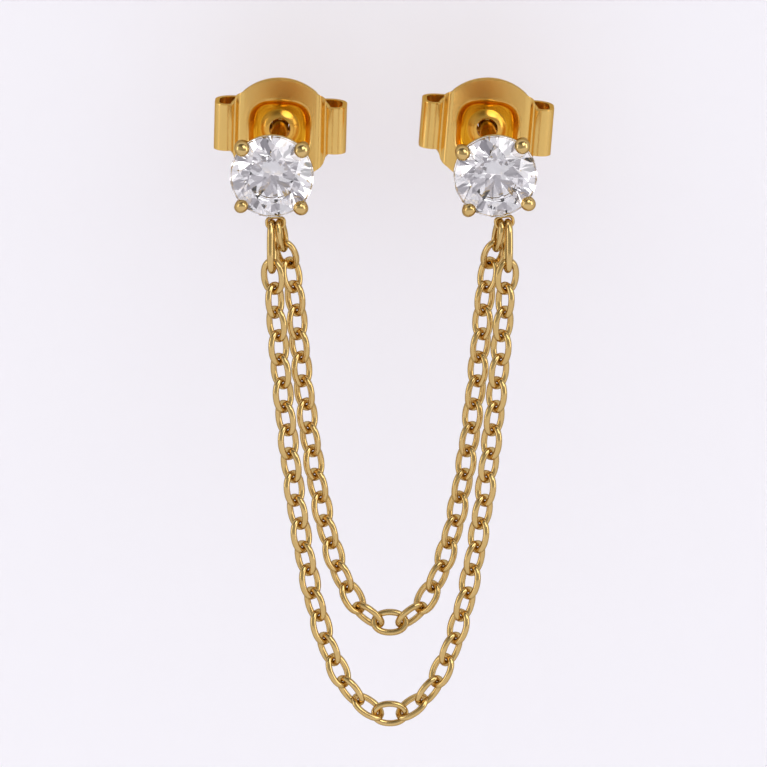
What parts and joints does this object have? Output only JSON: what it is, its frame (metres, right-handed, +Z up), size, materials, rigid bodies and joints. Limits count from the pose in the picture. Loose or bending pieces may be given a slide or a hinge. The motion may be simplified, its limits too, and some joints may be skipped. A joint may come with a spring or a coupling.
{
  "type": "ear chain earring",
  "caption": "Earring of two prong-set round clear stone studs with butterfly backs, joined by a long and a short hanging cable chain.",
  "frame": {"origin": "left piercing: on the axis of the left post, at the face of its setting that rests on the front of the ear lobe", "axes": "+Z up along the hanging chains, the stones face -Y, the posts run back along +Y, +X from the left stud to the right one"},
  "size_m": [0.0165, 0.0139, 0.0298],
  "materials": {
    "gold": "polished yellow gold plating",
    "stone": "faceted, clear and colourless"
  },
  "bodies": {
    "earring": {"stud_left": "gold", "stone_left": "stone", "ring_left": "gold", "stud_right": "gold", "stone_right": "stone", "ring_right": "gold", "chain_outer": "gold", "chain_inner": "gold"},
    "left_back": {"back_left": "gold"},
    "right_back": {"back_right": "gold"}
  },
  "joints": [
    {"name": "left_back_slide", "type": "slide", "parent": "earring", "child": "left_back", "axis": [0.0332, 0.9995, 0], "range_m": [-0.0064, 0.0042]},
    {"name": "right_back_slide", "type": "slide", "parent": "earring", "child": "right_back", "axis": [-0.0332, 0.9995, 0], "range_m": [-0.0064, 0.0042]}
  ]
}
